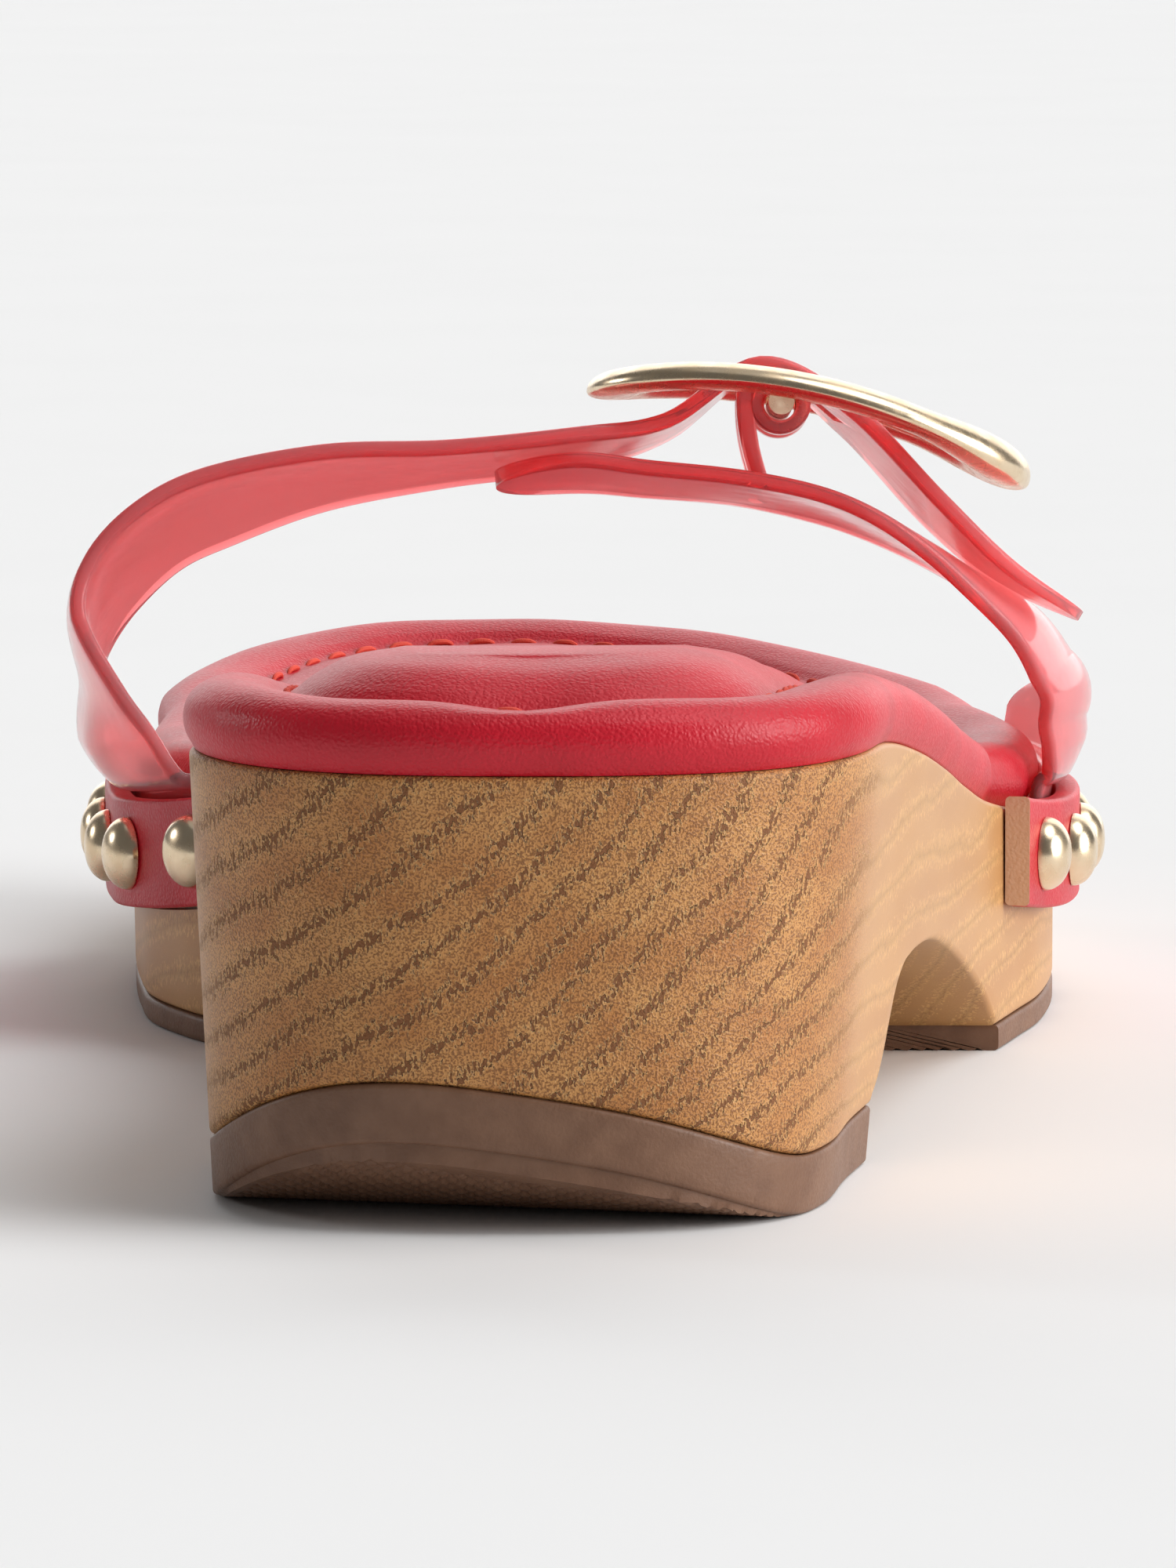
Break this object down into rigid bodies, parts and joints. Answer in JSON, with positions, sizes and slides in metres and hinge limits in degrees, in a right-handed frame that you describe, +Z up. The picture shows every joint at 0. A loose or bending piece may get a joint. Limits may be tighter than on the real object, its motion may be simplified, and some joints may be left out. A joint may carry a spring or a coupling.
{
  "type": "clog sandal with jelly strap",
  "caption": "Open slide clog sandal: translucent buckled strap over the instep, nailed to a wood-look platform with padded footbed and notched arch.",
  "frame": {"origin": "on the floor, under the middle of the shoe's box", "axes": "+Y from heel to toe, +X to the outer (lateral) side of this right shoe, +Z up"},
  "size_m": [0.1064, 0.247, 0.0683],
  "materials": {
    "wood": "satin, open grain",
    "rubber": "matte",
    "leather": "semi-gloss fine grain",
    "jelly": "glossy translucent",
    "gold": "polished"
  },
  "bodies": {
    "root": {"platform": "wood", "heel_outsole": "rubber", "forefoot_outsole": "rubber", "footbed": "leather", "upper": "jelly", "buckle": "gold", "buckle_prong": "gold", "medial_band": "leather", "lateral_band": "leather", "medial_stud_1": "gold", "medial_stud_2": "gold", "medial_stud_3": "gold", "medial_stud_4": "gold", "medial_stud_5": "gold", "lateral_stud_1": "gold", "lateral_stud_2": "gold", "lateral_stud_3": "gold", "lateral_stud_4": "gold", "lateral_stud_5": "gold"}
  },
  "joints": []
}
